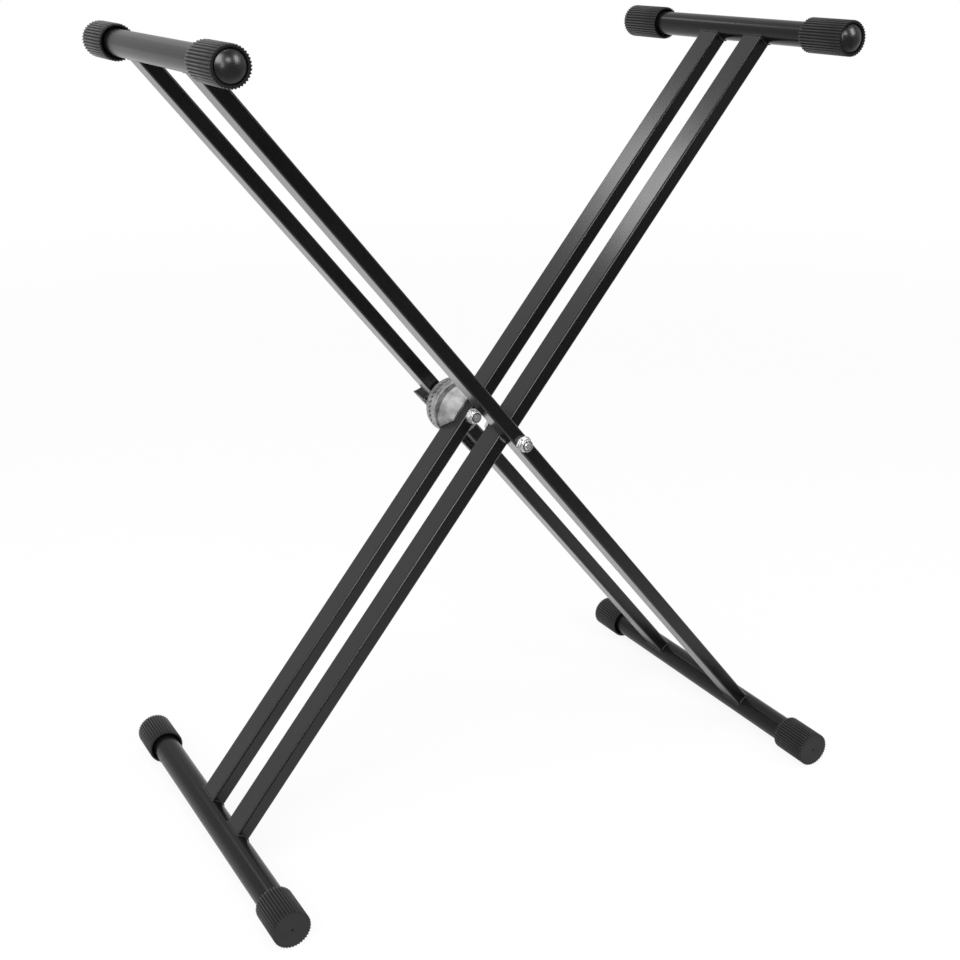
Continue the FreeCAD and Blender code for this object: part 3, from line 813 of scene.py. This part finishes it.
lock_nut("near_nut", "outer_frame")
lock_nut("clutch_nut", "outer_frame")
bolt_head_piece("near_bolt", "outer_frame")
for bolt in ("near_bolt", "clutch_bolt"):
    thread(bolt, "outer_frame", node_span(bolt)[0], BOLT_TAIL + THREAD_RUN)


# ---- finishes of the nodes that stay ----

def paint_nodes(names, material):
    for name in names:
        materials = frame["nodes"][name].data.materials
        if materials:
            for index in range(len(materials)):
                materials[index] = material
        else:
            materials.append(material)


def nodes_with(*words):
    return [name for name in frame["nodes"] if any(word in name for word in words)]


paint_nodes(nodes_with("_brace_"), PAINT)
paint_nodes(nodes_with("_tube"), TUBE_PAINT)
paint_nodes(nodes_with("clutch_half"), CAST)
# The lever and its pin take the black paint with the painted sheen in its lighter greys.
paint_nodes(nodes_with("release_lever", "lever_pin"), LEVER_PAINT_WITH_PAINTED_SHEEN)
paint_nodes(nodes_with("_bush_", "pressure_sleeve"), STEEL)
paint_nodes(nodes_with("washer", "_bolt", "spacer"), ZINC)
paint_nodes(["cam_plate"], DARK_STEEL)
paint_nodes(["clutch_spring"], SPRING)


# ---- floor, light and camera ----

# Glow, as reflections see it: dark in front of the stand, a little lighter at its right, bright behind
FRONT_GLOW = 0.03
SIDE_GLOW = 0.2
BACK_GLOW = 0.72
FLOOR_BACK_GLOW = 1.25
ROOM_SLANT = 0.4             # of X, added to Y
ROOM_REACH = (-0.75, 0.65)   # the direction's slanted coordinate from front to back
FLOOR_SLANT = 0.5            # of Y, added to X
FLOOR_SIDE = (0.5, 1.5)      # where the side glow sets in
FLOOR_DEPTH = (-1.2, 0.9)    # from the dark front to the bright back
PAINTED_DEPTH = (-0.9, -0.1)
PAINTED_SHARE = (0.93, 0.5)  # of the floor's reflection that glows and isn't lit
ROOM_FILL = 0.5              # light of the room on what isn't a mirror

FLOOR_HALF = 14.0
FLOOR_DROP = 0.2 * MM
FLOOR_GREY = 0.85
FLOOR_GLOW = 0.9             # the share of its brightness, near the stand, that takes no shadow
FLOOR_FADE = (0.8, 4.0)      # from the origin, to where it takes none
WHITE = (1.0, 1.0, 1.0, 1.0)


def between(tree, value, low, high, to_low, to_high):
    node = tree.nodes.new("ShaderNodeMapRange")
    node.interpolation_type = "SMOOTHSTEP"
    numbers = {"From Min": low, "From Max": high, "To Min": to_low, "To Max": to_high}
    for title, number in numbers.items():
        node.inputs[title].default_value = number
    tree.links.new(value, node.inputs["Value"])
    return node.outputs[0]


def reflected(tree, path):
    return math_node(tree, "MAXIMUM", path.outputs["Is Glossy Ray"], path.outputs["Is Transmission Ray"])


def floor_material():
    """Near white to the camera with a soft shadow, and in reflections dark in front and bright behind."""
    material = bpy.data.materials.new("pale_floor")
    material.use_nodes = True
    tree = material.node_tree
    output = tree.nodes["Material Output"]
    tree.nodes.remove(tree.nodes["Principled BSDF"])
    diffuse = tree.nodes.new("ShaderNodeBsdfDiffuse")
    diffuse.inputs["Color"].default_value = (FLOOR_GREY, FLOOR_GREY, FLOOR_GREY, 1.0)
    emission = tree.nodes.new("ShaderNodeEmission")
    path = tree.nodes.new("ShaderNodeLightPath")
    coordinates = tree.nodes.new("ShaderNodeTexCoord")
    split = tree.nodes.new("ShaderNodeSeparateXYZ")
    tree.links.new(coordinates.outputs["Object"], split.inputs[0])
    distance = tree.nodes.new("ShaderNodeVectorMath")
    distance.operation = "LENGTH"
    tree.links.new(coordinates.outputs["Object"], distance.inputs[0])
    camera = path.outputs["Is Camera Ray"]
    glossy = reflected(tree, path)
    rightward = math_node(tree, "MULTIPLY", split.outputs["Y"], FLOOR_SLANT)
    rightward = math_node(tree, "ADD", split.outputs["X"], rightward)
    front_to_back = between(tree, split.outputs["Y"], *FLOOR_DEPTH, FRONT_GLOW, FLOOR_BACK_GLOW)
    side = between(tree, rightward, *FLOOR_SIDE, 0.0, SIDE_GLOW)
    glow = math_node(tree, "ADD", front_to_back, side)
    strength = math_node(tree, "ADD", camera, math_node(tree, "MULTIPLY", glossy, glow))
    tree.links.new(strength, emission.inputs["Strength"])
    seen_share = between(tree, distance.outputs["Value"], *FLOOR_FADE, FLOOR_GLOW, 1.0)
    mirrored_share = between(tree, split.outputs["Y"], *PAINTED_DEPTH, *PAINTED_SHARE)
    share = math_node(tree, "ADD", math_node(tree, "MULTIPLY", camera, seen_share),
                      math_node(tree, "MULTIPLY", glossy, mirrored_share))
    mix = tree.nodes.new("ShaderNodeMixShader")
    tree.links.new(share, mix.inputs[0])
    tree.links.new(diffuse.outputs[0], mix.inputs[1])
    tree.links.new(emission.outputs[0], mix.inputs[2])
    tree.links.new(mix.outputs[0], output.inputs["Surface"])
    return material


def make_floor():
    mesh = bpy.data.meshes.new("studio_floor")
    corners = [(FLOOR_HALF * x, FLOOR_HALF * y, -FLOOR_DROP) for x, y in ((-1, -1), (1, -1), (1, 1), (-1, 1))]
    mesh.from_pydata(corners, [], [(0, 1, 2, 3)])
    mesh.materials.append(floor_material())
    link("studio_floor", mesh)


def make_world():
    """White to the camera, bright behind and dark in front in reflections, and a plain fill for the rest."""
    world = bpy.data.worlds.new("studio")
    world.use_nodes = True
    tree = world.node_tree
    background = tree.nodes["Background"]
    path = tree.nodes.new("ShaderNodeLightPath")
    coordinates = tree.nodes.new("ShaderNodeTexCoord")
    split = tree.nodes.new("ShaderNodeSeparateXYZ")
    tree.links.new(coordinates.outputs["Generated"], split.inputs[0])
    backward = math_node(tree, "MULTIPLY", split.outputs["X"], ROOM_SLANT)
    backward = math_node(tree, "ADD", split.outputs["Y"], backward)
    room = between(tree, backward, *ROOM_REACH, FRONT_GLOW, BACK_GLOW)
    camera = path.outputs["Is Camera Ray"]
    glossy = reflected(tree, path)
    rest = math_node(tree, "SUBTRACT", 1.0, math_node(tree, "MAXIMUM", camera, glossy))
    strength = math_node(tree, "ADD", math_node(tree, "MULTIPLY", glossy, room),
                         math_node(tree, "MULTIPLY", rest, ROOM_FILL))
    strength = math_node(tree, "ADD", strength, camera)
    background.inputs["Color"].default_value = WHITE
    tree.links.new(strength, background.inputs["Strength"])
    bpy.context.scene.world = world


def softbox(name, place, target, size, power):
    light = bpy.data.lights.new(name, "AREA")
    light.shape = "RECTANGLE"
    light.size, light.size_y = size
    light.energy = power
    lamp = bpy.data.objects.new(name, light)
    bpy.context.scene.collection.objects.link(lamp)
    lamp.location = place
    lamp.rotation_euler = (Vector(target) - Vector(place)).to_track_quat("-Z", "Y").to_euler()


# Camera fitted to the photograph's edges, in its 960 x 960 frame
IMAGE_SIZE = 960
FOCAL_PIXELS = 1450.8
CENTRE_PIXEL = (495.4, 448.75)
CAMERA_PLACE = (-0.71867, -1.28538, 0.89882)
CAMERA_TURN = (70.4848, 0.0166, -29.9349)


def make_camera():
    data = bpy.data.cameras.new("camera")
    data.sensor_width = 36.0
    data.lens = FOCAL_PIXELS / IMAGE_SIZE * data.sensor_width
    data.shift_x = (IMAGE_SIZE / 2 - CENTRE_PIXEL[0]) / IMAGE_SIZE
    data.shift_y = (CENTRE_PIXEL[1] - IMAGE_SIZE / 2) / IMAGE_SIZE
    camera = bpy.data.objects.new("camera", data)
    bpy.context.scene.collection.objects.link(camera)
    camera.location = CAMERA_PLACE
    camera.rotation_euler = [math.radians(angle) for angle in CAMERA_TURN]
    bpy.context.scene.camera = camera


make_floor()
make_world()
# The stand's own light, then small boxes for the highlights on the inner frame's braces and the domed plugs
softbox("overhead", (-0.3, -0.2, 3.0), (0, 0, 0.4), (1.8, 1.4), 30.0)
softbox("front_left", (-2.0, -2.1, 2.3), (0, 0, 0.45), (1.8, 1.8), 65.0)
softbox("front_right", (1.6, -2.2, 1.9), (0, 0, 0.4), (0.8, 1.2), 22.0)
softbox("left_box", (-2.6, -0.3, 1.4), (0, 0, 0.45), (0.7, 1.4), 10.0)
softbox("back_high", (-0.65, 2.3, 2.26), (0, 0, 0.5), (0.35, 0.35), 2.4)
softbox("front_high", (-0.15, -2.4, 1.75), (-0.3, 0, 0.8), (0.5, 0.4), 7.0)
softbox("front_low", (-1.1, -2.2, 1.0), (-0.3, 0, 0.8), (0.3, 0.7), 4.0)
make_camera()

bpy.context.scene.view_settings.view_transform = "Standard"
